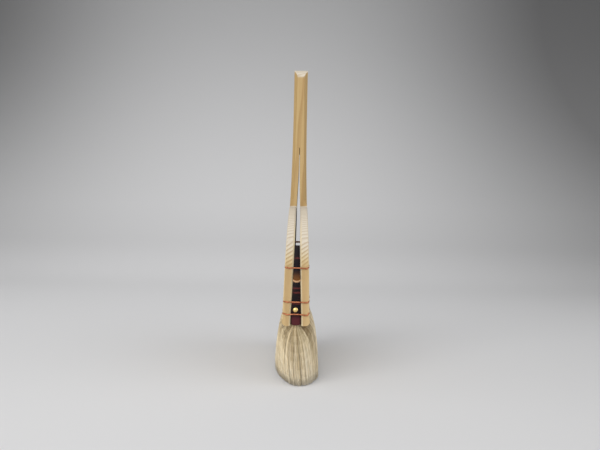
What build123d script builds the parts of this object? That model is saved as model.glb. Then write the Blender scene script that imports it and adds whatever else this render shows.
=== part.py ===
from build123d import *
import os
from math import cos, radians, sin, sqrt, tan

# A flat paste brush (hake): one cypress board, sawn up the middle from its lower end and
# sprung open around a flat bundle of goat hair. Three running stitches of copper wire draw
# the two halves together, strips of cherry bark close the slit at the narrow edges, and a
# brass nail holds each lower strip.
# Frame: +Z up the handle, Y across the width, X through the thickness. The origin is on the
# surface that the hair tips stand on, in the middle of the brush. Millimetres.

# ---- driving dimensions ----
TOTAL_HEIGHT = 229.0
BODY_WIDTH = 120.0
BODY_BOTTOM = 41.0           # lower end of the board, and so the free length of the hair
SHOULDER_START = 82.0        # height where the straight sides end
SHOULDER_RADIUS = 41.0
NECK_HALF_WIDTH = 18.0
TOP_HALF_WIDTH = 17.0
TOP_CORNER_RADIUS = 8.0
BOTTOM_EDGE_RADIUS = 3.0
KERF_TOP = 168.0
GRIP_CHAMFER = 2.6
CHAMFER_START = 128.5        # lowest height where the grip's chamfers have their full width
CHAMFER_RUNOUT_RADIUS = 5.0
SLIT_EDGE_CHAMFER = 1.0
OUTER_EDGE_RADIUS = 0.6      # easing of the broad faces' long edges

# Half of the board's thickness at a few heights, from the clamp to the grip.
FACE_STATIONS = [(9.3, 45), (8.7, 62), (8.25, 78), (7.7, 92), (7.2, 105)]
FACE_STATIONS += [(6.7, 117), (6.3, 127), (5.8, 142), (5.35, 162), (5.1, 198)]
# Half of the slit's width at a few heights, from the lower end to the end of the saw cut.
SLIT_STATIONS = [(3.78, 41), (3.0, 60), (2.4, 76), (1.95, 90), (1.68, 103), (1.45, 115)]
SLIT_STATIONS += [(1.15, 127), (0.8, 137), (0.45, 146), (0.25, 156), (0.22, 168)]

WIRE_DIAMETER = 1.0
WIRE_HOLE_DIAMETER = 1.4
WIRE_BEND_RADIUS = 1.0
WIRE_LIFT = 0.08             # running clearance between a wire and what it lies on
STITCH_ROWS = {"copper_stitch_lower": 48.9, "copper_stitch_middle": 57.1, "copper_stitch_upper": 79.9}
STITCH_HOLES = 9
STITCH_EDGE_MARGIN = 9.0     # from the narrow edge to the first hole
NECK_STITCH_HEIGHT = 95.9
NECK_STITCH_HALF_SPAN = 8.0

BARK_THICKNESS = 0.9
BARK_SIDE_GAP = 0.1
LOWER_BARK_BOTTOM = 41.5
LOWER_BARK_TOP = 78.0
UPPER_BARK_BOTTOM = 69.9
UPPER_BARK_TOPS = {-1: 95.0, 1: 88.5}    # the near strip was cut longer than the far one
UPPER_BARK_BULGE = 0.75      # how far the lap stands proud of the board's edge
BARK_TUCK = 1.0              # how far the lower strip dips in behind the lap

NAIL_HEIGHT = 51.8
NAIL_SIDE_OFFSET = 0.4
NAIL_HEAD_DIAMETER = 3.4
NAIL_HEAD_RISE = 1.0
NAIL_SHANK_DIAMETER = 0.9
NAIL_SHANK_LENGTH = 12.0
NAIL_HOLE_DIAMETER = 1.1

ROOT_HALF_WIDTH = 57.6
ROOT_TOP = 82.0
ROOT_SIDE_GAP = 0.1
GLUE_HEIGHT = 2.5

FLEX_HEIGHT = BODY_BOTTOM    # the hair bends about a line at the mouth of the clamp
FLEX_RADIUS = 3.4
FLEX_CLEARANCE = 0.3
FLEX_SLOPE = 24.0            # degrees that the hair's top falls away, so that it can bend
# Free hair: height, half thickness and half width of its oval level cuts.
HAIR_SECTIONS = [(0.0, 14.2, 57.5), (4.0, 15.4, 60.0), (16.0, 15.2, 60.6), (41.0, 13.6, 59.6)]

HALF_WIDTH = BODY_WIDTH / 2
REACH = 150.0                # longer than the brush, for cutting tools


def mirrored_x(shape):
    """The same shape on the other side of the middle plane between the board's halves."""
    return mirror(shape, about=Plane.YZ)


def mirrored_y(shape):
    """The same shape on the other narrow edge."""
    return mirror(shape, about=Plane.XZ)


def side_face(edges):
    """A face from edges drawn as (x, z), standing in the X-Z plane."""
    return Plane.XZ * make_face(edges)


def front_face(edges):
    """A face from edges drawn as (y, z), standing in the Y-Z plane."""
    return Plane.YZ * make_face(edges)


def offset_at(curve, height):
    """The x of a rising curve drawn as (x, z), at a height."""
    low, high = 0.0, 1.0
    for _ in range(40):
        middle = (low + high) / 2
        if (curve @ middle).Y < height:
            low = middle
        else:
            high = middle
    return (curve @ low).X


FACE_CURVE = Spline(*FACE_STATIONS)
SLIT_CURVE = Spline(*SLIT_STATIONS)


def slit_wedge(side_gap, bottom, top):
    """The space between the halves, side_gap smaller each way, between two heights."""
    low_x, low_z = SLIT_STATIONS[0]
    high_x, high_z = SLIT_STATIONS[-1]
    outline = [
        Line((0, low_z), (low_x - side_gap, low_z)),
        Pos(-side_gap, 0, 0) * SLIT_CURVE,
        Line((high_x - side_gap, high_z), (0, high_z)),
        Line((0, high_z), (0, low_z)),
    ]
    half = extrude(side_face(outline), REACH, both=True)
    slab = Pos(0, 0, (bottom + top) / 2) * Box(REACH, 2 * REACH, top - bottom)
    return (half + mirrored_x(half)) & slab


def board_side_profile():
    """The board seen on its narrow edge, without the slit."""
    foot_x, foot_z = FACE_STATIONS[0]
    grip_x, grip_z = FACE_STATIONS[-1]
    corner = RadiusArc((foot_x - BOTTOM_EDGE_RADIUS, BODY_BOTTOM), (foot_x, foot_z), -BOTTOM_EDGE_RADIUS)
    outline = [
        Line((0, BODY_BOTTOM), (foot_x - BOTTOM_EDGE_RADIUS, BODY_BOTTOM)),
        corner,
        FACE_CURVE,
        Line((grip_x, grip_z), (grip_x, TOTAL_HEIGHT)),
        Line((grip_x, TOTAL_HEIGHT), (0, TOTAL_HEIGHT)),
        Line((0, TOTAL_HEIGHT), (0, BODY_BOTTOM)),
    ]
    half = extrude(side_face(outline), REACH, both=True)
    return half + mirrored_x(half)


def board_front_profile():
    """The board seen on its broad face: straight sides, round shoulders and the grip."""
    shoulder_y = HALF_WIDTH - SHOULDER_RADIUS
    shoulder_top = SHOULDER_START + SHOULDER_RADIUS
    corner_z = TOTAL_HEIGHT - TOP_CORNER_RADIUS
    shoulder = CenterArc((shoulder_y, SHOULDER_START), SHOULDER_RADIUS, 0, 90)
    corner = CenterArc((TOP_HALF_WIDTH - TOP_CORNER_RADIUS, corner_z), TOP_CORNER_RADIUS, 0, 90)
    outline = [
        Line((0, BODY_BOTTOM), (HALF_WIDTH, BODY_BOTTOM)),
        Line((HALF_WIDTH, BODY_BOTTOM), (HALF_WIDTH, SHOULDER_START)),
        shoulder,
        Line((shoulder_y, shoulder_top), (NECK_HALF_WIDTH, shoulder_top)),
        Line((NECK_HALF_WIDTH, shoulder_top), (TOP_HALF_WIDTH, corner_z)),
        corner,
        Line((TOP_HALF_WIDTH - TOP_CORNER_RADIUS, TOTAL_HEIGHT), (0, TOTAL_HEIGHT)),
        Line((0, TOTAL_HEIGHT), (0, BODY_BOTTOM)),
    ]
    half = extrude(front_face(outline), REACH, both=True)
    return half + mirrored_y(half)


def grip_chamfer_cutter():
    """What one long chamfer of the grip removes, with a round run-out above the neck."""
    diagonal = sqrt(2)
    depth = GRIP_CHAMFER / diagonal
    grip_x, grip_z = FACE_STATIONS[-1]
    low_corner = (offset_at(FACE_CURVE, CHAMFER_START) + NECK_HALF_WIDTH) / diagonal
    high_corner = (grip_x + TOP_HALF_WIDTH) / diagonal
    low_u = low_corner - depth
    high_u = high_corner - depth
    runout_z = CHAMFER_START - CHAMFER_RUNOUT_RADIUS * sin(radians(45))
    runout_u = low_u + CHAMFER_RUNOUT_RADIUS * (1 - cos(radians(45)))
    outside_u = low_corner + CHAMFER_RUNOUT_RADIUS
    outline = [
        Line((high_u, TOTAL_HEIGHT + 1), (low_u, CHAMFER_START)),
        RadiusArc((low_u, CHAMFER_START), (runout_u, runout_z), CHAMFER_RUNOUT_RADIUS),
        Line((runout_u, runout_z), (outside_u, runout_z)),
        Line((outside_u, runout_z), (outside_u, TOTAL_HEIGHT + 1)),
        Line((outside_u, TOTAL_HEIGHT + 1), (high_u, TOTAL_HEIGHT + 1)),
    ]
    diagonal_plane = Plane(origin=(0, 0, 0), x_dir=(1, 1, 0), z_dir=(1, -1, 0))
    return extrude(diagonal_plane * make_face(outline), GRIP_CHAMFER * 4, both=True)


def hole_along_x(y, z):
    """A drill through both halves of the board."""
    return Pos(0, y, z) * Rot(0, 90, 0) * Cylinder(WIRE_HOLE_DIAMETER / 2, 60)


def stitch_hole_places():
    """The y of each hole in a stitch row."""
    first = -(HALF_WIDTH - STITCH_EDGE_MARGIN)
    pitch = -2 * first / (STITCH_HOLES - 1)
    return [first + pitch * i for i in range(STITCH_HOLES)]


def all_stitch_drills():
    """Every wire hole of the three rows and of the neck stitch."""
    drills = [hole_along_x(y, z) for z in STITCH_ROWS.values() for y in stitch_hole_places()]
    for y in (-NECK_STITCH_HALF_SPAN, NECK_STITCH_HALF_SPAN):
        drills.append(hole_along_x(y, NECK_STITCH_HEIGHT))
    return drills


def outline_edges(board, low_x, high_x):
    """The board's edges along its sides and shoulders whose middle is that far from the slit."""
    found = []
    for edge in board.edges():
        middle = edge @ 0.5
        beside = low_x < abs(middle.X) < high_x
        on_side = abs(abs(middle.Y) - HALF_WIDTH) < 0.01 and middle.Z > BODY_BOTTOM + 5
        on_shoulder = abs(middle.Y) > NECK_HALF_WIDTH + 5 and middle.Z > SHOULDER_START + 5
        if beside and (on_side or on_shoulder):
            found.append(edge)
    return found


def make_handle():
    """The sawn cypress board."""
    board = board_side_profile() & board_front_profile()
    slit = slit_wedge(0.0, BODY_BOTTOM, KERF_TOP)
    board = board - slit
    board = chamfer(outline_edges(board, 0.2, 4.5), SLIT_EDGE_CHAMFER)
    board = fillet(outline_edges(board, 5, 10), OUTER_EDGE_RADIUS)
    cutter = grip_chamfer_cutter()
    for cut in (cutter, mirrored_x(cutter)):
        board = board - cut - mirrored_y(cut)
    return board - all_stitch_drills()


def wire_along(points):
    """A round wire that follows a path of straight runs with bent corners."""
    path = FilletPolyline(*points, radius=WIRE_BEND_RADIUS)
    section = Plane(origin=path @ 0, z_dir=path % 0) * Circle(WIRE_DIAMETER / 2)
    return sweep(section, path=path)


def make_row_stitch(height):
    """One row: round the first edge, in and out across the board, round the other edge."""
    side = offset_at(FACE_CURVE, height) + WIRE_DIAMETER / 2 + WIRE_LIFT
    edge = HALF_WIDTH + WIRE_DIAMETER / 2 + WIRE_LIFT
    holes = stitch_hole_places()
    points = [(0, holes[0], height), (side, holes[0], height), (side, -edge, height), (-side, -edge, height)]
    x = -side
    for y in holes[1:-1]:
        points.append((x, y, height))
        x = -x
        points.append((x, y, height))
    points.append((x, edge, height))
    points.append((-x, edge, height))
    points.append((-x, holes[-1], height))
    points.append((0, holes[-1], height))
    return wire_along(points)


def make_neck_stitch():
    """A short staple of wire through the two holes below the neck, its ends meeting."""
    side = offset_at(FACE_CURVE, NECK_STITCH_HEIGHT) + WIRE_DIAMETER / 2 + WIRE_LIFT
    span = NECK_STITCH_HALF_SPAN
    z = NECK_STITCH_HEIGHT
    points = [(-side, -1, z), (-side, -span, z), (side, -span, z), (side, span, z), (-side, span, z), (-side, 1, z)]
    return wire_along(points)


def nail_drill(direction):
    """The hole of one edge nail. direction is -1 at the near edge and 1 at the far edge."""
    middle = direction * (HALF_WIDTH - NAIL_SHANK_LENGTH / 2)
    drill = Cylinder(NAIL_HOLE_DIAMETER / 2, NAIL_SHANK_LENGTH + 2)
    return Pos(direction * NAIL_SIDE_OFFSET, middle, NAIL_HEIGHT) * Rot(90, 0, 0) * drill


def make_nail(direction):
    """A domed brass nail, driven in along Y."""
    head_radius = NAIL_HEAD_DIAMETER / 2
    ball_radius = (head_radius**2 + NAIL_HEAD_RISE**2) / (2 * NAIL_HEAD_RISE)
    shank_radius = NAIL_SHANK_DIAMETER / 2
    point_z = -NAIL_SHANK_LENGTH
    outline = [
        Line((0, point_z), (shank_radius, point_z + 2)),
        Line((shank_radius, point_z + 2), (shank_radius, 0)),
        Line((shank_radius, 0), (head_radius, 0)),
        RadiusArc((head_radius, 0), (0, NAIL_HEAD_RISE), -ball_radius),
        Line((0, NAIL_HEAD_RISE), (0, point_z)),
    ]
    nail = revolve(side_face(outline), Axis.Z)
    return Pos(direction * NAIL_SIDE_OFFSET, direction * HALF_WIDTH, NAIL_HEIGHT) * Rot(-90 * direction, 0, 0) * nail


def make_lower_bark(direction):
    """The strip under the nail: flush below, dipping in behind the lap at its upper end."""
    outer = HALF_WIDTH - WIRE_LIFT
    inner = outer - BARK_THICKNESS
    dip_start = UPPER_BARK_BOTTOM - 2
    tucked = inner - BARK_TUCK
    outline = [
        Line((inner, LOWER_BARK_BOTTOM), (outer - 0.5, LOWER_BARK_BOTTOM)),
        RadiusArc((outer - 0.5, LOWER_BARK_BOTTOM), (outer, LOWER_BARK_BOTTOM + 0.5), -0.5),
        Line((outer, LOWER_BARK_BOTTOM + 0.5), (outer, dip_start)),
        Line((outer, dip_start), (outer - BARK_TUCK, LOWER_BARK_TOP)),
        Line((outer - BARK_TUCK, LOWER_BARK_TOP), (tucked, LOWER_BARK_TOP)),
        Line((tucked, LOWER_BARK_TOP), (inner, dip_start)),
        Line((inner, dip_start), (inner, LOWER_BARK_BOTTOM)),
    ]
    strip = extrude(front_face(outline), REACH, both=True)
    strip = strip & slit_wedge(BARK_SIDE_GAP, BODY_BOTTOM, LOWER_BARK_TOP + 1)
    if direction < 0:
        strip = mirrored_y(strip)
    return strip - nail_drill(direction)


def make_upper_bark(direction):
    """The strip that laps over the lower one and follows the shoulder. direction is -1 or 1."""
    outer = HALF_WIDTH - WIRE_LIFT
    inner = outer - BARK_THICKNESS
    proud = outer + UPPER_BARK_BULGE
    flat_start = STITCH_ROWS["copper_stitch_upper"] - 1.2
    bevel = 1.3
    top = UPPER_BARK_TOPS[direction]
    centre = (HALF_WIDTH - SHOULDER_RADIUS, SHOULDER_START)
    outer_radius = outer - centre[0]
    inner_radius = inner - centre[0]
    rise = top - SHOULDER_START
    outer_end = (centre[0] + sqrt(outer_radius**2 - rise**2), top)
    inner_end = (centre[0] + sqrt(inner_radius**2 - rise**2), top)
    lap_outer = Spline(
        (proud, UPPER_BARK_BOTTOM + bevel), (outer, flat_start), tangents=[(0, 1), (0, 1)]
    )
    lap_inner = Spline(
        (inner, flat_start), (proud - BARK_THICKNESS, UPPER_BARK_BOTTOM), tangents=[(0, -1), (0, -1)]
    )
    outline = [
        Line((proud - BARK_THICKNESS, UPPER_BARK_BOTTOM), (proud, UPPER_BARK_BOTTOM + bevel)),
        lap_outer,
        Line((outer, flat_start), (outer, SHOULDER_START)),
        RadiusArc((outer, SHOULDER_START), outer_end, -outer_radius),
        Line(outer_end, inner_end),
        RadiusArc(inner_end, (inner, SHOULDER_START), inner_radius),
        Line((inner, SHOULDER_START), (inner, flat_start)),
        lap_inner,
    ]
    strip = extrude(front_face(outline), REACH, both=True)
    strip = strip & slit_wedge(BARK_SIDE_GAP, BODY_BOTTOM, top + 1)
    return mirrored_y(strip) if direction < 0 else strip


def make_hair_roots():
    """The clamped part of the hair, pierced by the stitches and the nails."""
    block = slit_wedge(ROOT_SIDE_GAP, FLEX_HEIGHT + 0.5, ROOT_TOP)
    block = block & Pos(0, 0, ROOT_TOP / 2) * Box(REACH, 2 * ROOT_HALF_WIDTH, ROOT_TOP)
    socket = Cylinder(FLEX_RADIUS + FLEX_CLEARANCE, 2 * REACH)
    block = block - Pos(0, 0, FLEX_HEIGHT) * Rot(90, 0, 0) * socket
    return block - all_stitch_drills() - nail_drill(-1) - nail_drill(1)


def make_root_glue():
    """The hard bead of glue that seals the upper end of the hair."""
    bead = slit_wedge(ROOT_SIDE_GAP, ROOT_TOP, ROOT_TOP + GLUE_HEIGHT)
    return bead & Pos(0, 0, ROOT_TOP) * Box(REACH, 2 * ROOT_HALF_WIDTH - 4, 4 * GLUE_HEIGHT)


def hair_section(height, half_thickness, half_width):
    """One level cut of the free hair."""
    return Pos(0, 0, height) * Ellipse(half_thickness, half_width)


def make_bristle_bundle():
    """The free hair, as a plain solid that can rock about the mouth of the clamp."""
    body = loft([hair_section(*section) for section in HAIR_SECTIONS])
    run = REACH
    fall = run * tan(radians(FLEX_SLOPE))
    roof = [
        Line((0, FLEX_HEIGHT), (run, FLEX_HEIGHT - fall)),
        Line((run, FLEX_HEIGHT - fall), (run, -fall - run)),
        Line((run, -fall - run), (-run, -fall - run)),
        Line((-run, -fall - run), (-run, FLEX_HEIGHT - fall)),
        Line((-run, FLEX_HEIGHT - fall), (0, FLEX_HEIGHT)),
    ]
    body = body & extrude(side_face(roof), REACH, both=True)
    knuckle_width = 2 * (HALF_WIDTH - 2.2)
    knuckle = Pos(0, 0, FLEX_HEIGHT) * Rot(90, 0, 0) * Cylinder(FLEX_RADIUS, knuckle_width)
    return body + knuckle


def write_part(name, shape):
    """Write one sub-part under its node name."""
    shape.label = name
    export_step(shape, f"parts/{name}.step")


write_part("handle", make_handle())
write_part("bristle_bundle", make_bristle_bundle())
write_part("hair_roots", make_hair_roots())
write_part("root_glue", make_root_glue())
for row_name, row_height in STITCH_ROWS.items():
    write_part(row_name, make_row_stitch(row_height))
write_part("neck_stitch", make_neck_stitch())
for edge_name, edge_direction in (("near", -1), ("far", 1)):
    write_part(f"lower_bark_{edge_name}", make_lower_bark(edge_direction))
    write_part(f"upper_bark_{edge_name}", make_upper_bark(edge_direction))
    write_part(f"brass_nail_{edge_name}", make_nail(edge_direction))
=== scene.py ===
import math
from functools import partial

import bpy
import numpy as np
from mathutils import Matrix, Vector


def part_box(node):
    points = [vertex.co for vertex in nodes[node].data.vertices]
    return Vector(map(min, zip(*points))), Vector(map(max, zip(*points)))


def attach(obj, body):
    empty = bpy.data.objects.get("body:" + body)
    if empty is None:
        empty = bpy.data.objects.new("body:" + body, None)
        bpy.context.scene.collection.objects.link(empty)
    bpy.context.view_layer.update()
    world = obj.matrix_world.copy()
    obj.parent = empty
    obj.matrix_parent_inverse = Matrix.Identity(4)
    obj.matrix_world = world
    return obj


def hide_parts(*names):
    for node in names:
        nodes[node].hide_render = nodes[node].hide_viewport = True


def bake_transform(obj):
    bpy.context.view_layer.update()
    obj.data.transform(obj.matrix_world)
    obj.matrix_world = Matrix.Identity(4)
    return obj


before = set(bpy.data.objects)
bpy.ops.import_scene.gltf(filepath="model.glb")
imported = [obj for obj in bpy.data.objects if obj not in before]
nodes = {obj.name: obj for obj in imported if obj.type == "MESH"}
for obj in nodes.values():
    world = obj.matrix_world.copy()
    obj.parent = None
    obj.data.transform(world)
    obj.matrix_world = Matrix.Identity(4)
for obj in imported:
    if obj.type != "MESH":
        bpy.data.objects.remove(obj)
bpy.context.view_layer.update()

# A flat paste brush standing on its hair. The board, the neck stitch, the clamped hair roots
# and the root glue keep their CAD shapes and get materials. The free hair, the bark strips,
# the wire rows and the nails are built here in place of their CAD solids.
# Lengths inside the script are in millimetres until they reach Blender, which is in metres.
# The stage, the lights and the camera have their places in metres.

MM = 0.001
SEED = 417

handle_low, handle_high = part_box("handle")
BOARD_BOTTOM = handle_low.z / MM
HALF_WIDTH = handle_high.y / MM
SHOULDER_START = 82.0        # height where the straight sides end
SHOULDER_RADIUS = 41.0
ENDS = {"near": -1, "far": 1}    # the two narrow edges and their side of the middle
# How far each row of wire waves up and down where it goes round a narrow edge.
ROW_SAGS = {"copper_stitch_lower": 0.9, "copper_stitch_middle": 0.5, "copper_stitch_upper": 0.45}


# ---------------------------------------------------------------- node helpers
class Nodes:
    """Short calls that add shader nodes to one material and link them."""

    def __init__(self, name):
        self.material = bpy.data.materials.new(name)
        self.material.use_nodes = True
        self.tree = self.material.node_tree
        self.shader = self.tree.nodes["Principled BSDF"]
        self.coords = self.tree.nodes.new("ShaderNodeTexCoord")

    def put(self, socket, value):
        """Link a socket to another node's output, or set its value."""
        if isinstance(value, bpy.types.NodeSocket):
            self.tree.links.new(value, socket)
        else:
            socket.default_value = value

    def math(self, operation, first, second=0.0, clamp=False):
        node = self.tree.nodes.new("ShaderNodeMath")
        node.operation = operation
        node.use_clamp = clamp
        self.put(node.inputs[0], first)
        self.put(node.inputs[1], second)
        return node.outputs[0]

    def position(self):
        """The place on the object, in millimetres."""
        node = self.tree.nodes.new("ShaderNodeVectorMath")
        node.operation = "SCALE"
        self.put(node.inputs[0], self.coords.outputs["Object"])
        node.inputs["Scale"].default_value = 1 / MM
        return node.outputs[0]

    def split(self, vector):
        node = self.tree.nodes.new("ShaderNodeSeparateXYZ")
        self.put(node.inputs[0], vector)
        return node.outputs

    def stretch(self, vector, x, y, z):
        """Multiply a vector by a fixed amount along each axis."""
        node = self.tree.nodes.new("ShaderNodeVectorMath")
        node.operation = "MULTIPLY"
        self.put(node.inputs[0], vector)
        node.inputs[1].default_value = (x, y, z)
        return node.outputs[0]

    def noise(self, vector, scale=1.0, detail=3.0, roughness=0.5):
        node = self.tree.nodes.new("ShaderNodeTexNoise")
        self.put(node.inputs["Vector"], vector)
        node.inputs["Scale"].default_value = scale
        node.inputs["Detail"].default_value = detail
        node.inputs["Roughness"].default_value = roughness
        return node.outputs["Fac"]

    def ramp(self, value, stops):
        """A colour ramp; each stop is (position, three parts of a colour)."""
        node = self.tree.nodes.new("ShaderNodeValToRGB")
        self.put(node.inputs[0], value)
        ramp = node.color_ramp
        while len(ramp.elements) < len(stops):
            ramp.elements.new(0.5)
        for element, (place, color) in zip(ramp.elements, stops):
            element.position = place
            element.color = (*color, 1.0)
        return node.outputs["Color"]

    def levels(self, value, low, high):
        """0 below low, 1 above high, smooth between."""
        node = self.tree.nodes.new("ShaderNodeMapRange")
        node.interpolation_type = "SMOOTHSTEP"
        self.put(node.inputs["Value"], value)
        node.inputs["From Min"].default_value = low
        node.inputs["From Max"].default_value = high
        return node.outputs["Result"]

    def mix(self, factor, first, second, blend="MIX"):
        node = self.tree.nodes.new("ShaderNodeMix")
        node.data_type = "RGBA"
        node.blend_type = blend
        self.put(node.inputs[0], factor)
        self.put(node.inputs[6], first)
        self.put(node.inputs[7], second)
        return node.outputs[2]

    def bump(self, height, distance, strength=1.0):
        node = self.tree.nodes.new("ShaderNodeBump")
        self.put(node.inputs["Height"], height)
        node.inputs["Distance"].default_value = distance
        node.inputs["Strength"].default_value = strength
        self.put(self.shader.inputs["Normal"], node.outputs[0])

    def set(self, **values):
        """Set shader sockets; underscores stand for the spaces in their names."""
        for name, value in values.items():
            self.put(self.shader.inputs[name.replace("_", " ")], value)
        return self.material


def srgb(text):
    """A colour from its usual six-digit form, in Blender's linear light."""
    parts = [int(text[i:i + 2], 16) / 255 for i in (0, 2, 4)]
    linear = [c / 12.92 if c <= 0.04045 else ((c + 0.055) / 1.055) ** 2.4 for c in parts]
    return (*linear, 1.0)


# ---------------------------------------------------------------- materials
def wood_material():
    """Planed cypress: straight rings, cream where the grain ends, painted shade in the sawn slit and a
    painted highlight on the body's long corners.
    """
    m = Nodes("cypress_wood")
    ring_tilt = math.radians(9)
    rings_per_mm = 0.78
    grip_foot = 123.6            # height where the grip rises from the shoulders
    place = m.position()
    axis = m.split(place)

    # Growth rings: straight, wandering slowly, and unevenly spaced in the middle of the width.
    sway = m.math("SUBTRACT", m.noise(m.stretch(place, 0.05, 0.05, 0.01), detail=2.0), 0.5)
    across = m.math("MULTIPLY", axis[1], math.cos(ring_tilt))
    through = m.math("MULTIPLY", axis[0], math.sin(ring_tilt))
    ring = m.math("ADD", m.math("SUBTRACT", across, through), m.math("MULTIPLY", sway, 2.4))
    years = m.math("MULTIPLY", m.noise(m.stretch(place, 0.09, 0.0, 0.0), detail=1.0), 0.6)
    lean_years = m.math("SUBTRACT", m.noise(m.stretch(place, 0.0, 0.06, 0.0), detail=2.0), 0.5)
    inner_wood = m.levels(m.math("ABSOLUTE", axis[1]), 54.0, 34.0)
    lean_years = m.math("MULTIPLY", m.math("MULTIPLY", lean_years, 8.0), inner_wood)
    ring = m.math("ADD", ring, lean_years)
    phase = m.math("FRACT", m.math("ADD", m.math("MULTIPLY", ring, rings_per_mm), years))
    black = (0.0, 0.0, 0.0)
    white = (1.0, 1.0, 1.0)
    late = m.ramp(phase, [(0.0, black), (0.45, (0.12,) * 3), (0.80, white), (0.92, white), (1.0, black)])
    bands = m.noise(m.stretch(place, 0.0, 0.55, 0.0), detail=2.0, roughness=0.7)
    late = m.math("MULTIPLY", late, m.math("ADD", m.math("MULTIPLY", bands, 1.3), 0.1), clamp=True)

    # Fine fibres and broad streaks run up the board.
    fibre = m.noise(m.stretch(place, 5.0, 5.0, 0.16), detail=4.0, roughness=0.62)
    streak = m.noise(m.stretch(place, 0.7, 0.7, 0.016), detail=3.0, roughness=0.55)

    # Where the saw crossed the fibres: the round shoulders and the top, but not the grip's sides.
    normal = m.split(m.coords.outputs["Normal"])
    end_grain = m.levels(m.math("ABSOLUTE", normal[2]), 0.0, 0.30)
    edge_face = m.levels(m.math("ABSOLUTE", normal[1]), 0.55, 0.8)
    below_foot = m.levels(axis[2], grip_foot + 0.2, grip_foot - 0.2)
    shoulder = m.math("MULTIPLY", m.levels(axis[2], 78.0, 88.0), below_foot)
    end_grain = m.math("MAXIMUM", end_grain, m.math("MULTIPLY", edge_face, shoulder))

    # Low on the shoulders the cut is shallow and the rings come out as broad slanting bands.
    slant = m.math("SUBTRACT", axis[2], m.math("MULTIPLY", axis[0], 0.75))
    slant = m.math("ADD", slant, m.math("MULTIPLY", sway, 9.0))
    bend = m.math("FRACT", m.math("MULTIPLY", slant, 0.37))
    broad = m.ramp(bend, [(0.0, black), (0.4, (0.08,) * 3), (0.66, white), (0.84, white), (1.0, black)])
    low_cut = m.math("MULTIPLY", m.levels(axis[2], 79.5, 83.0), m.levels(axis[2], 100.0, 95.0))
    low_cut = m.math("MULTIPLY", low_cut, edge_face)
    late = m.math("MULTIPLY", late, m.math("SUBTRACT", 1.0, low_cut))
    late = m.math("ADD", late, m.math("MULTIPLY", broad, low_cut))
    above_foot = m.levels(axis[2], grip_foot - 0.2, grip_foot + 0.2)
    grip_side = m.math("MULTIPLY", above_foot, m.levels(axis[2], 219.0, 217.0))
    end_grain = m.math("MULTIPLY", end_grain, m.math("SUBTRACT", 1.0, grip_side))

    # The body's long corners are eased, and painted a little paler as a highlight where they catch the
    # light.
    corner = m.math("MULTIPLY", m.math("ABSOLUTE", normal[0]), m.math("ABSOLUTE", normal[1]))
    body_zone = m.levels(axis[2], 125.0, 122.0)
    eased_corner_highlight = m.math("MULTIPLY", m.levels(corner, 0.25, 0.48), body_zone)

    # Colours: long sides, end grain, broad faces, then fibres and painted shade inside the slit.
    early_side = m.mix(streak, srgb("b69d6d"), srgb("a78755"))
    late_side = m.mix(streak, srgb("9b7a49"), srgb("886736"))
    side = m.mix(m.math("MULTIPLY", late, 0.7), early_side, late_side)
    paler = m.math("MULTIPLY", m.levels(axis[2], 122.0, 60.0), 0.2)
    side = m.mix(paler, side, srgb("d8bf98"))
    fully_cut = m.levels(axis[2], 82.0, 98.0)
    cream = m.mix(fully_cut, srgb("c6b48a"), srgb("c8bfaf"))
    brown = m.mix(fully_cut, srgb("9c794d"), srgb("a38f72"))
    end = m.mix(m.math("MULTIPLY", late, 0.75), cream, brown)
    color = m.mix(end_grain, side, end)
    # Painted highlight: the eased corners are mixed toward a paler colour.
    color = m.mix(m.math("MULTIPLY", eased_corner_highlight, 0.7), color, srgb("dac9a4"))
    inward = m.levels(m.math("ABSOLUTE", normal[0]), 0.75, 0.95)
    near_middle = m.levels(m.math("ABSOLUTE", axis[0]), 4.4, 4.0)
    broad_face = m.math("MULTIPLY", inward, m.math("SUBTRACT", 1.0, near_middle))
    planed = m.mix(m.math("MULTIPLY", late, 0.55), srgb("d9c294"), srgb("b08a55"))
    color = m.mix(m.math("MULTIPLY", broad_face, 0.6), color, planed)
    dark = m.mix(0.5, color, srgb("8a6232"), "MULTIPLY")
    fleck = m.levels(fibre, 0.50, 0.78)
    color = m.mix(m.math("MULTIPLY", fleck, 0.3), color, dark)
    # Painted shade: the slit's inner faces are darkened where the light does not reach into it.
    painted_slit_shade = m.math("MULTIPLY", inward, near_middle)
    color = m.mix(m.math("MULTIPLY", painted_slit_shade, 0.92), color, srgb("3a2c1c"))
    rough = m.math("ADD", m.math("MULTIPLY", fibre, 0.25), m.math("MULTIPLY", end_grain, 0.2))
    m.bump(m.math("ADD", m.math("MULTIPLY", late, 0.35), fibre), 0.00006, 0.55)
    m.set(Base_Color=color, Roughness=m.math("ADD", rough, 0.38), Specular_IOR_Level=0.3)
    return m.material


def copper_material():
    """Drawn copper, a little dulled, with fine lengthwise scratches and brown specks."""
    m = Nodes("copper_wire")
    place = m.position()
    dull = m.levels(m.noise(m.stretch(place, 0.7, 0.35, 1.6), detail=4.0), 0.46, 0.72)
    fine = m.noise(m.stretch(place, 9.0, 2.0, 9.0), detail=3.0)
    color = m.mix(dull, srgb("b4714f"), srgb("70402a"))
    m.bump(fine, 0.00002, 0.4)
    m.set(Base_Color=color, Metallic=0.8, Roughness=m.math("ADD", m.math("MULTIPLY", dull, 0.2), 0.3))
    return m.material


def brass_material():
    """Polished brass with faint handling marks."""
    m = Nodes("brass_nail")
    place = m.position()
    marks = m.noise(place, scale=2.4, detail=4.0)
    color = m.mix(marks, srgb("f4e0a0"), srgb("d9b25c"))
    m.bump(marks, 0.00003, 0.3)
    m.set(Base_Color=color, Metallic=0.95, Roughness=m.math("ADD", m.math("MULTIPLY", marks, 0.2), 0.12))
    return m.material


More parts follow.
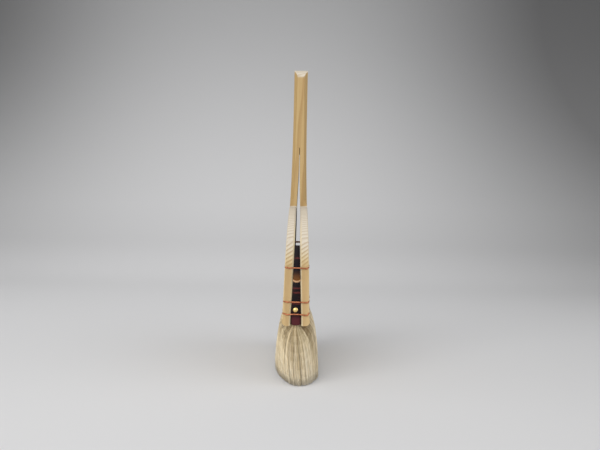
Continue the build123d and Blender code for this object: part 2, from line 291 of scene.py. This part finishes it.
def bark_material(name, foot_color, foot_z, foot_fade, line_heights):
    """Polished cherry bark: near black, with red cross lines; its foot takes foot_color, the bark's own
    red on the lower strips and a painted brown highlight on the upper.
    """
    m = Nodes(name)
    place = m.position()
    axis = m.split(place)
    waver = m.noise(m.stretch(place, 0.5, 0.5, 1.2), detail=3.0)
    height = m.math("ADD", axis[2], m.math("MULTIPLY", m.math("SUBTRACT", waver, 0.5), 1.6))
    foot = m.levels(height, foot_z + foot_fade, foot_z)
    tint = m.mix(foot, srgb("130d10"), srgb(foot_color))
    # Painted shade: the strip darkens toward its sides, in the gap between the bark and the slit's walls.
    rim = m.levels(m.math("ABSOLUTE", axis[0]), 1.9, 3.6)
    tint = m.mix(m.math("MULTIPLY", rim, 0.85), tint, srgb("130709"))
    fine = m.noise(m.stretch(place, 0.25, 0.25, 2.6), detail=3.0, roughness=0.6)
    red = m.math("MULTIPLY", m.levels(fine, 0.55, 0.72), 0.45)
    for line_z in line_heights:
        away = m.math("ABSOLUTE", m.math("SUBTRACT", height, line_z))
        red = m.math("MAXIMUM", red, m.levels(away, 0.75, 0.2))
    color = m.mix(m.math("MULTIPLY", red, 0.85), tint, srgb("5b2723"))
    mottle = m.noise(m.stretch(place, 1.6, 1.6, 3.2), detail=4.0)
    color = m.mix(m.math("MULTIPLY", m.levels(mottle, 0.4, 0.8), 0.4), color, srgb("0f0b0d"))
    m.bump(m.math("ADD", m.math("ADD", fine, red), m.math("MULTIPLY", mottle, 0.4)), 0.0001, 0.5)
    m.set(Base_Color=color, Roughness=m.math("ADD", m.math("MULTIPLY", mottle, 0.25), 0.3))
    m.set(Specular_IOR_Level=0.1)
    return m.material


def cut_bark_material():
    """The pale inner bark that a slanting cut lays open."""
    m = Nodes("cut_bark")
    place = m.position()
    grain = m.noise(m.stretch(place, 1.0, 1.0, 4.0), detail=4.0)
    m.bump(grain, 0.00008, 0.5)
    m.set(Base_Color=m.mix(grain, srgb("f0c69c"), srgb("cf9a68")), Roughness=0.7)
    return m.material


def packed_hair_material(name, light, dark):
    """Packed hair: fine streaks along the hairs."""
    m = Nodes(name)
    place = m.position()
    streaks = m.noise(m.stretch(place, 2.6, 2.6, 0.09), detail=4.0, roughness=0.65)
    color = m.mix(m.levels(streaks, 0.35, 0.68), srgb(light), srgb(dark))
    m.bump(streaks, 0.0004, 0.7)
    m.set(Base_Color=color, Roughness=0.8, Sheen_Weight=0.15)
    return m.material


def glue_material():
    """A dark, hard, slightly glossy bead of glue."""
    m = Nodes("hard_glue")
    place = m.position()
    lumps = m.noise(place, scale=0.8, detail=3.0)
    m.bump(lumps, 0.0003, 0.6)
    m.set(Base_Color=m.mix(lumps, srgb("4a2a14"), srgb("2a160a")), Roughness=0.3, Coat_Weight=0.4)
    return m.material


def hair_materials():
    """A few shades of one goat hair, from cream through straw to brown."""
    shades = ["f8ecd2", "efdfbe", "dccaa4", "c5b28d", "ab9873", "94784f", "6b5030"]
    made = []
    for index, shade in enumerate(shades):
        m = Nodes(f"goat_hair_{index}")
        m.set(Base_Color=srgb(shade), Roughness=0.5, Specular_IOR_Level=0.3, Sheen_Weight=0.2)
        made.append(m.material)
    return made


def stage_material():
    """Pale paper with painted light falloff: it darkens up the sweep and toward its sides."""
    m = Nodes("stage_paper_painted_falloff")
    axis = m.split(m.coords.outputs["Object"])
    # Painted light falloff: the paper's colour darkens toward the sides and up the sweep.
    aside = m.math("ADD", axis[0], 0.16)
    square = m.math("MULTIPLY", aside, aside)
    upper = m.math("ADD", m.math("MULTIPLY", m.levels(axis[2], 0.1, 0.95), 1.2), 0.4)
    painted_falloff_aside = m.math("MULTIPLY", m.math("ADD", m.math("MULTIPLY", square, upper), 0.65), square)
    sides = m.math("MAXIMUM", m.math("DIVIDE", 1.0, m.math("ADD", painted_falloff_aside, 1.0)), 0.32)
    painted_falloff_up = m.math("MULTIPLY", m.math("MAXIMUM", m.math("SUBTRACT", axis[2], 0.17), 0.0), 0.42)
    painted_falloff_up = m.math("ADD", painted_falloff_up, m.math("MULTIPLY", m.levels(axis[2], -0.02, 0.08), 0.19))
    rise = m.math("MAXIMUM", m.math("SUBTRACT", 1.0, painted_falloff_up), 0.4)
    shade = m.math("MULTIPLY", sides, rise)
    m.set(Base_Color=m.mix(shade, srgb("141414"), srgb("e2e2e3")), Roughness=0.95)
    m.set(Specular_IOR_Level=0.1)
    return m.material


# ---------------------------------------------------------------- mesh helpers
def new_piece(name, points, faces, materials, picks=None):
    """A mesh object from points in millimetres. picks gives each face its material's number."""
    mesh = bpy.data.meshes.new(name)
    mesh.from_pydata((np.asarray(points) * MM).tolist(), [], faces)
    for material in materials:
        mesh.materials.append(material)
    if picks is not None:
        mesh.polygons.foreach_set("material_index", np.asarray(picks, dtype=np.int32))
    mesh.polygons.foreach_set("use_smooth", np.full(len(mesh.polygons), True))
    mesh.update()
    piece = bpy.data.objects.new(name, mesh)
    bpy.context.scene.collection.objects.link(piece)
    return piece


def rounded_path(points, radius, steps=5):
    """Straight runs between the points, with an arc of this radius at each corner."""
    points = [Vector(p) for p in points]
    path = [points[0]]
    for before, corner, after in zip(points, points[1:], points[2:]):
        back = (before - corner).normalized()
        ahead = (after - corner).normalized()
        half_turn = (math.pi - back.angle(ahead)) / 2
        inset = radius * math.tan(half_turn)
        start = corner + back * inset
        end = corner + ahead * inset
        for step in range(steps + 1):
            t = step / steps
            path.append(start.lerp(corner, t).lerp(corner.lerp(end, t), t))
    path.append(points[-1])
    return np.array([tuple(p) for p in path])


def tube(path, radius, sides=14):
    """A closed round tube along a path, turning its ring as little as it can."""
    count = len(path)
    tangents = np.gradient(path, axis=0)
    tangents /= np.linalg.norm(tangents, axis=1)[:, None]
    first = np.cross(tangents[0], (0.31, 0.52, 0.79))
    angles = np.arange(sides) * 2 * np.pi / sides
    rings = []
    for place, tangent in zip(path, tangents):
        first = first - tangent * np.dot(first, tangent)
        first /= np.linalg.norm(first)
        second = np.cross(tangent, first)
        rings.append(place + radius * (np.cos(angles)[:, None] * first + np.sin(angles)[:, None] * second))
    points = np.concatenate(rings)
    faces = []
    for k in range(count - 1):
        for j in range(sides):
            a = k * sides + j
            b = k * sides + (j + 1) % sides
            faces.append((a, b, b + sides, a + sides))
    faces.append(tuple(reversed(range(sides))))
    faces.append(tuple((count - 1) * sides + j for j in range(sides)))
    return points, faces


def grid_shell(outer, inner):
    """A closed sheet between two point grids of the same shape: its faces, and their kinds.
    Kinds: 0 outer, 1 inner, 2 the edge of the first row, 3 the other edges."""
    rows, columns = outer.shape[:2]
    offset = rows * columns
    points = np.concatenate([outer.reshape(-1, 3), inner.reshape(-1, 3)])
    faces = []
    kinds = []
    for r in range(rows - 1):
        for c in range(columns - 1):
            a = r * columns + c
            quad = (a, a + 1, a + columns + 1, a + columns)
            faces.append(quad)
            kinds.append(0)
            faces.append(tuple(offset + i for i in reversed(quad)))
            kinds.append(1)
    for c in range(columns - 1):
        top = (rows - 1) * columns + c
        faces.append((c + 1, c, offset + c, offset + c + 1))
        kinds.append(2)
        faces.append((top, top + 1, offset + top + 1, offset + top))
        kinds.append(3)
    for r in range(rows - 1):
        left = r * columns
        right = left + columns - 1
        faces.append((left, left + columns, offset + left + columns, offset + left))
        kinds.append(3)
        faces.append((right + columns, right, offset + right, offset + right + columns))
        kinds.append(3)
    return points, faces, kinds


# ---------------------------------------------------------------- board
def slit_half(z):
    """Half of the slit's width at a height."""
    heights = (41, 60, 76, 90, 103, 115)
    widths = (3.78, 3.0, 2.4, 1.95, 1.68, 1.45)
    return np.interp(z, heights, widths)


def dress_board():
    """The board and what it clamps keep their CAD shapes and get their materials."""
    dressing = {
        "handle": wood_material(),
        "hair_roots": packed_hair_material("hair_roots", "cbb58f", "8f7650"),
        "root_glue": glue_material(),
    }
    for name, material in dressing.items():
        mesh = nodes[name].data
        mesh.materials.clear()
        mesh.materials.append(material)


# ---------------------------------------------------------------- hair
# The outermost hairs' path: distance from the middle plane, height, and the bundle's half
# width at each of these heights.
OUTER_X = (3.3, 3.6, 7.8, 10.8, 12.8, 14.2, 15.2, 15.5, 15.2)
OUTER_Z = (45.0, 41.6, 40.2, 38.3, 34.5, 27.5, 17.5, 7.5, 0.12)
HALF_WIDTHS = (58.2, 58.4, 58.8, 59.2, 59.6, 60.0, 60.0, 59.3, 58.2)
RINGS = len(OUTER_X)
HAIRS_PER_PIECE = 4000
LOCKS = {"front": 260, "back": 260, "near": 130, "far": 130, "inner": 300}
LOCK_SPREADS = {"front": 0.06, "back": 0.06, "near": 0.045, "far": 0.045, "inner": 0.06}
CORE_LIFT = 2.6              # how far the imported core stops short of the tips
STRAY_SHARE = 0.05           # hairs that sway more than the rest
BROWN_SHARE = 0.02           # hairs that are much darker than the rest
BROWN_SHADE = 5.5
HAIR_RADII = (0.06, 0.12)


def round_corners(u, v, amount):
    """Move places in a square toward an oval. amount runs from 0, the square, to 1."""
    along = u * np.sqrt(1 - amount * v**2 / 2)
    across = v * np.sqrt(1 - amount * np.abs(u) ** 3 / 2)
    return along, across


def sway_of(random, count, reach):
    """A slow random sine for each of count hairs or locks: size, start and turns."""
    size = random.normal(0, reach, count)[:, None]
    start = random.uniform(0, 2 * np.pi, count)[:, None]
    turns = random.uniform(1.2, 3.6, count)[:, None]
    return size, start, turns


def hair_paths(root, tip, sways, tip_lift):
    """Centre lines of hairs. root and tip hold (u, v): u along the width and v through the
    thickness, each from -1 to 1. sways are (axis, sine) pairs and tip_lift shortens the hair."""
    steps = np.linspace(0, 1, RINGS)
    gather = steps**1.2
    u = root[0][:, None] * (1 - gather) + tip[0][:, None] * gather
    v = root[1][:, None] * (1 - gather) + tip[1][:, None] * gather
    along, across = round_corners(u, v, 0.1 + 0.9 * steps)
    straight = OUTER_Z[0] + (OUTER_Z[-1] - OUTER_Z[0]) * steps
    bow = np.clip(np.abs(v), 0, 1) ** 3
    z = straight * (1 - bow) + np.array(OUTER_Z) * bow
    free = np.clip((BOARD_BOTTOM - z) / BOARD_BOTTOM, 0, 1)
    combed = free**2 * np.clip((-u - 0.55) / 0.45, 0, 1) * (2.6 + 1.4 * v)
    x = across * np.array(OUTER_X) + 0.8 * np.clip(free * 3, 0, 1) + combed
    y = along * np.array(HALF_WIDTHS)
    for axis, (size, start, turns) in sways:
        shift = free**1.3 * size * np.sin(start + turns * free)
        if axis == "x":
            x = x + shift
        else:
            y = y + shift
    z = z + free**2 * tip_lift[:, None]
    return np.stack([x, y, z], axis=2)


def hair_piece(name, paths, radii, shades, materials):
    """Thin closed three-sided tubes along many paths at once, as one mesh."""
    count, rings = paths.shape[:2]
    tangents = np.gradient(paths, axis=1)
    tangents /= np.linalg.norm(tangents, axis=2)[:, :, None]
    first = np.cross(tangents, (0.2, 1.2, 0.05))
    first /= np.linalg.norm(first, axis=2)[:, :, None]
    second = np.cross(tangents, first)
    taper = 1 - 0.6 * np.linspace(0, 1, rings) ** 4
    corners = []
    for turn in (0, 2 * np.pi / 3, 4 * np.pi / 3):
        reach = (radii[:, None] * taper)[:, :, None]
        corners.append(paths + reach * (np.cos(turn) * first + np.sin(turn) * second))
    points = np.stack(corners, axis=2).reshape(-1, 3)
    base = np.arange(count)[:, None] * rings * 3
    quads = []
    for k in range(rings - 1):
        for j in range(3):
            a = k * 3 + j
            b = k * 3 + (j + 1) % 3
            quads.append((a, b, b + 3, a + 3))
    quads = (base[:, :, None] + np.array(quads)[None]).reshape(-1, 4)
    last = (rings - 1) * 3
    ends = (base[:, :, None] + np.array([(2, 1, 0), (last, last + 1, last + 2)])[None]).reshape(-1, 3)
    # Roots darker and tips paler: partly the hair's own tone, partly painted light that lifts the shade
    # near the floor.
    paler = np.linspace(1.8, -2.6, rings - 1)
    along = np.clip(np.rint(shades[:, None] + paler[None]), 0, len(materials) - 1).astype(np.int32)
    picks = np.concatenate([np.repeat(along.ravel(), 3), np.repeat(along[:, -1], 2)])
    return new_piece(name, points, quads.tolist() + ends.tolist(), materials, picks)


def lock_places(random, kind, count):
    """u and v of the middles of one batch's locks."""
    u = random.uniform(-1, 1, count)
    v = random.uniform(-1, 1, count)
    if kind == "front":
        v = -random.uniform(0.86, 1.0, count)
    elif kind == "back":
        v = random.uniform(0.86, 1.0, count)
    elif kind == "near":
        u = -random.uniform(0.95, 1.0, count)
    elif kind == "far":
        u = random.uniform(0.95, 1.0, count)
    return u, v


def make_hair():
    """The free hair: locks of thin hairs that draw together at their tips."""
    random = np.random.default_rng(SEED)
    materials = hair_materials()
    pieces = []
    for name in ("front_1", "front_2", "back_1", "back_2", "near_1", "far_1", "inner_1", "inner_2"):
        kind = name.split("_")[0]
        locks = LOCKS[kind]
        lock_u, lock_v = lock_places(random, kind, locks)
        lean_u = random.normal(0, 0.012, locks)
        lean_v = random.normal(0, 0.05, locks)
        draw = random.uniform(-0.1, 0.5, locks)
        lock_lift = np.abs(random.normal(0, 0.8, locks))
        lock_shade = random.normal(2.5, 0.95, locks)
        lock_sways = {axis: sway_of(random, locks, reach) for axis, reach in (("x", 0.12), ("y", 0.4))}
        pick = random.integers(0, locks, HAIRS_PER_PIECE)
        off_u = random.normal(0, 0.014, HAIRS_PER_PIECE)
        off_v = random.normal(0, LOCK_SPREADS[kind], HAIRS_PER_PIECE)
        u = lock_u[pick]
        v = lock_v[pick]
        root = (np.clip(u + off_u, -1, 1), np.clip(v + off_v, -1, 1))
        tip_u = u + lean_u[pick] + off_u * draw[pick]
        tip_v = v + lean_v[pick] + off_v * draw[pick]
        tip = (np.clip(tip_u, -1.01, 1.01), np.clip(tip_v, -1.03, 1.03))
        sways = [(axis, tuple(part[pick] for part in sine)) for axis, sine in lock_sways.items()]
        stray = np.where(random.uniform(0, 1, HAIRS_PER_PIECE) < STRAY_SHARE, 2.2, 1.0)[:, None]
        for axis, reach in (("x", 0.2), ("y", 0.45)):
            size, start, turns = sway_of(random, HAIRS_PER_PIECE, reach)
            sways.append((axis, (size * stray, start, turns)))
        lift = lock_lift[pick] + random.exponential(0.9, HAIRS_PER_PIECE)
        lift = lift * np.interp(u, (-1, -0.9), (0.7, 1.0))
        shade = lock_shade[pick] + random.normal(0, 0.9, HAIRS_PER_PIECE)
        # Painted light on the near end: its middle lighter and its flanks darker, the right flank most, as
        # under a light from the front left.
        shade += (1.5 * v**2 + 0.35 * v - 0.4) * np.clip((-u - 0.6) / 0.4, 0, 1)
        shade[random.uniform(0, 1, HAIRS_PER_PIECE) < BROWN_SHARE] = BROWN_SHADE
        radii = random.uniform(*HAIR_RADII, HAIRS_PER_PIECE)
        paths = hair_paths(root, tip, sways, lift)
        pieces.append(hair_piece(f"{name}_hair", paths, radii, shade, materials))
    return pieces


def make_hair_core():
    """Packed hair under the loose hairs, so that nothing shows between them."""
    columns = 96
    width_share = 0.955
    depth_share = 0.86
    angles = np.arange(columns) * 2 * np.pi / columns
    square = np.maximum(np.abs(np.sin(angles)), np.abs(np.cos(angles)))
    random = np.random.default_rng(SEED + 1)
    ripple = 1 + random.normal(0, 0.012, columns)
    place = (np.sin(angles) / square * width_share, np.cos(angles) / square * depth_share * ripple)
    rings = hair_paths(place, place, [], np.full(columns, CORE_LIFT))
    points = rings.transpose(1, 0, 2).reshape(-1, 3)
    faces = [tuple(range(columns))]
    for level in range(RINGS - 1):
        for k in range(columns):
            a = level * columns + k
            b = level * columns + (k + 1) % columns
            faces.append((a, a + columns, b + columns, b))
    faces.append(tuple(reversed([(RINGS - 1) * columns + k for k in range(columns)])))
    material = packed_hair_material("hair_core", "d8c8a6", "b09a74")
    return new_piece("hair_core", points, faces, [material])


# ---------------------------------------------------------------- bark, wire and nails
def shoulder_edge(z):
    """The board's half width at a height, along the straight side and the round shoulder."""
    rise = np.clip(z - SHOULDER_START, 0, SHOULDER_RADIUS)
    return HALF_WIDTH - SHOULDER_RADIUS + np.sqrt(SHOULDER_RADIUS**2 - rise**2)


def make_bark(name, direction, bottom, top, proud, cut_depth, materials):
    """One strip of bark. proud says how far it stands out at a height, cut_depth how far its
    lower end is cut back."""
    rows = 60
    columns = 13
    thickness = 0.85
    inset = 0.5
    crown_height = 0.45
    side_gap = 0.12
    outer = np.zeros((rows, columns, 3))
    inner = np.zeros((rows, columns, 3))
    random = np.random.default_rng(SEED + int(bottom))
    wander = random.normal(0, 0.02, (rows, columns))
    for r in range(rows):
        t = (r / (rows - 1)) ** 1.15
        z = bottom + (top - bottom) * t
        outer_z = bottom + cut_depth + (top - bottom - cut_depth) * t
        half = float(slit_half(z)) - side_gap
        for c in range(columns):
            across = 2 * c / (columns - 1) - 1
            crown = crown_height * (1 - abs(across) ** 2.5)
            rounded_end = 1.1 * abs(across) ** 3 * max(0.0, 1 - r / 6)
            surface = float(shoulder_edge(outer_z)) - inset + crown + proud(z) + wander[r, c]
            y = direction * surface
            outer[r, c] = (across * half, y, outer_z + rounded_end)
            inner[r, c] = (across * half, y - direction * thickness, z + rounded_end)
    points, faces, kinds = grid_shell(outer, inner)
    if direction > 0:
        faces = [tuple(reversed(f)) for f in faces]
    picks = [1 if kind == 2 else 0 for kind in kinds]
    return new_piece(name, points, faces, materials, picks)


def tucked(z, lap_bottom):
    """How far the lower strip sinks at a height, to pass under the upper one."""
    return -1.0 * float(np.clip((z - lap_bottom + 2) / 9, 0, 1))


def lapped(z):
    """How far the upper strip stands out at a height, over the lower one."""
    return 0.75 * float(np.clip((78.5 - z) / 7, 0, 1)) ** 0.8


def make_barks():
    """Both strips at both narrow edges."""
    cut = cut_bark_material()
    lower = bark_material("lower_bark", "4e2025", 44.6, 5.0, (66.2, 63.3, 56.0))
    # The upper strips' browner foot is a painted highlight, where their bulge turns up toward the light.
    upper = bark_material("upper_bark", "6b431c", 71.5, 7.0, (86.4,))
    for end, direction in ENDS.items():
        lap_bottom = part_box(f"upper_bark_{end}")[0].z / MM
        low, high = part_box(f"lower_bark_{end}")
        bottom = low.z / MM
        top = high.z / MM
        sunk = partial(tucked, lap_bottom=lap_bottom)
        strip = make_bark(f"lower_bark_strip_{end}", direction, bottom, top, sunk, 0.0, [lower, lower])
        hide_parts(f"lower_bark_{end}")
        finish_piece(strip, "handle")
        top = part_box(f"upper_bark_{end}")[1].z / MM
        strip = make_bark(f"upper_bark_strip_{end}", direction, lap_bottom, top, lapped, 1.4, [upper, cut])
        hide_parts(f"upper_bark_{end}")
        finish_piece(strip, "handle")


def finish_piece(piece, body):
    """Every piece is attached to its body."""
    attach(piece, body)
    return piece


def make_row_wire(name, sag, material, random):
    """One running stitch. Pulled tight by hand, it sinks into the wood at the board's corners
    and sags between them; sag is the size of that wave."""
    low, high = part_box(name)
    height = (low.z + high.z) / 2 / MM
    radius = (high.z - low.z) / 2 / MM
    side = high.x / MM - radius - 0.35
    edge = high.y / MM - radius
    margin = 9.0                 # from a narrow edge to the first hole
    hole_count = 9
    first = -(HALF_WIDTH - margin)
    holes = [first + i * 2 * (HALF_WIDTH - margin) / (hole_count - 1) for i in range(hole_count)]
    bite = 0.6                   # how deep it sinks into the corners

    def round_edge(sign, start_side):
        """Round a narrow edge: high at the corners, low on the wood, level on the bark."""
        s = start_side
        start_lift = sag * random.uniform(0.9, 1.3)
        end_lift = sag * random.uniform(0.5, 0.8)
        return [
            (s * (side - bite), sign * (edge - 4.5), height + start_lift),
            (s * (side - bite), sign * (edge - 0.6), height + start_lift * 0.75),
            (s * side * 0.80, sign * (edge - 0.35), height - sag * 0.8),
            (s * 2.6, sign * (edge - 0.1), height - sag * 0.05),
            (-s * 2.6, sign * (edge - 0.1), height),
            (-s * side * 0.62, sign * (edge - 0.35), height - sag * 0.5),
            (-s * (side - bite), sign * (edge - 0.6), height + end_lift * 0.8),
            (-s * (side - bite), sign * (edge - 4.5), height + end_lift),
        ]

    points = [(0, holes[0], height), (side, holes[0], height)]
    points += round_edge(-1, 1)
    x = -side
    for y in holes[1:-1]:
        points.append((x, y, height + random.uniform(-0.12, 0.12)))
        x = -x
        points.append((x, y, height + random.uniform(-0.12, 0.12)))
    points += round_edge(1, math.copysign(1, x))
    points += [(-x, holes[-1], height), (0, holes[-1], height)]
    shape, faces = tube(rounded_path(points, 0.7), radius)
    wire = new_piece(f"{name}_wire", shape, faces, [material])
    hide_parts(name)
    return finish_piece(wire, "handle")


def make_nail(end, direction, material):
    """A domed head with a slight hammered flat, on a pointed shank."""
    name = f"brass_nail_{end}"
    low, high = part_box(name)
    centre_x = (low.x + high.x) / 2 / MM
    centre_z = (low.z + high.z) / 2 / MM
    radius = (high.x - low.x) / 2 / MM
    rise = 1.0
    rim = 0.1
    length = 12.0
    point = 1.8
    shank = 0.45
    profile = [(0.0, length), (shank - 0.03, length - point), (shank, 0.05)]
    profile += [(radius * 0.93, 0.0), (radius, -rim)]
    steps = 9
    for step in range(1, steps + 1):
        angle = math.pi / 2 * step / steps
        profile.append((radius * math.cos(angle), -rim - (rise - rim) * math.sin(angle)))
    turns = 40
    points = []
    for r, depth in profile:
        for k in range(turns):
            angle = 2 * math.pi * k / turns
            x = r * math.cos(angle)
            z = r * math.sin(angle)
            flat = 0.0
            if depth < -0.3:
                flat = 0.16 * max(0.0, (x + z) / radius - 0.15)
            points.append((centre_x + x, direction * (HALF_WIDTH - depth - flat), centre_z + z))
    faces = []
    for ring in range(len(profile) - 1):
        for k in range(turns):
            a = ring * turns + k
            b = ring * turns + (k + 1) % turns
            faces.append((a, b, b + turns, a + turns))
    if direction < 0:
        faces = [tuple(reversed(f)) for f in faces]
    nail = new_piece(f"{name}_head", points, faces, [material])
    weld = nail.modifiers.new("weld", "WELD")
    weld.merge_threshold = 0.00001
    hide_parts(name)
    return finish_piece(nail, "handle")


# ---------------------------------------------------------------- stage, light and camera
def make_stage():
    """A pale floor that sweeps up behind the brush."""
    front = -3.0
    sweep_start = 0.5
    wall_top = 3.5
    half_span = 4.0
    steps = 16
    radius = 0.8
    profile = [(front, 0.0), (sweep_start, 0.0)]
    for step in range(1, steps + 1):
        angle = math.pi / 2 * step / steps
        profile.append((sweep_start + radius * math.sin(angle), radius * (1 - math.cos(angle))))
    profile.append((sweep_start + radius, wall_top))
    points = []
    for y, z in profile:
        points.append((-half_span / MM, y / MM, z / MM))
        points.append((half_span / MM, y / MM, z / MM))
    faces = [(2 * k, 2 * k + 1, 2 * k + 3, 2 * k + 2) for k in range(len(profile) - 1)]
    floor = new_piece("stage_floor", points, faces, [stage_material()])


def add_light(name, place, target, size, power):
    """A soft square lamp that looks at a point."""
    lamp = bpy.data.lights.new(name, "AREA")
    lamp.size = size
    lamp.energy = power
    holder = bpy.data.objects.new(name, lamp)
    holder.location = place
    holder.rotation_euler = (Vector(target) - Vector(place)).to_track_quat("-Z", "Y").to_euler()
    bpy.context.scene.collection.objects.link(holder)


def make_lights():
    add_light("key_light", (-0.78, -1.72, 1.02), (0, 0, 0.08), 2.6, 44.0)
    add_light("fill_light", (1.5, -0.75, 0.8), (0, 0, 0.08), 1.6, 7.0)
    world = bpy.data.worlds.new("studio")
    world.use_nodes = True
    background = world.node_tree.nodes["Background"]
    background.inputs["Color"].default_value = (1.0, 1.0, 1.0, 1.0)
    background.inputs["Strength"].default_value = 0.6
    bpy.context.scene.world = world
    bpy.context.scene.view_settings.view_transform = "Standard"


def make_camera():
    """The camera stands before the narrow edge, a little above mid height, almost level."""
    camera = bpy.data.cameras.new("camera")
    camera.sensor_width = 36.0
    camera.lens = 29.1
    camera.clip_start = 0.01
    holder = bpy.data.objects.new("camera", camera)
    pitch = math.radians(0.59)
    roll = math.radians(1.19)
    forward = Vector((0.0, math.cos(pitch), math.sin(pitch)))
    turn = forward.to_track_quat("-Z", "Y").to_matrix() @ Matrix.Rotation(roll, 3, "Z")
    holder.location = (0.0015, -0.3855, 0.1054)
    holder.rotation_euler = turn.to_euler()
    bpy.context.scene.collection.objects.link(holder)
    bpy.context.scene.camera = holder


# ---------------------------------------------------------------- build
make_camera()
make_stage()
make_lights()
dress_board()

for hair in make_hair():
    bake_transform(hair)
core = make_hair_core()
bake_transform(core)
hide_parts("bristle_bundle")

make_barks()
copper = copper_material()
stitch_random = np.random.default_rng(SEED + 2)
for row, sag in ROW_SAGS.items():
    make_row_wire(row, sag, copper, stitch_random)
nodes["neck_stitch"].data.materials.clear()
nodes["neck_stitch"].data.materials.append(copper)
brass = brass_material()
for end_name, end_direction in ENDS.items():
    make_nail(end_name, end_direction, brass)
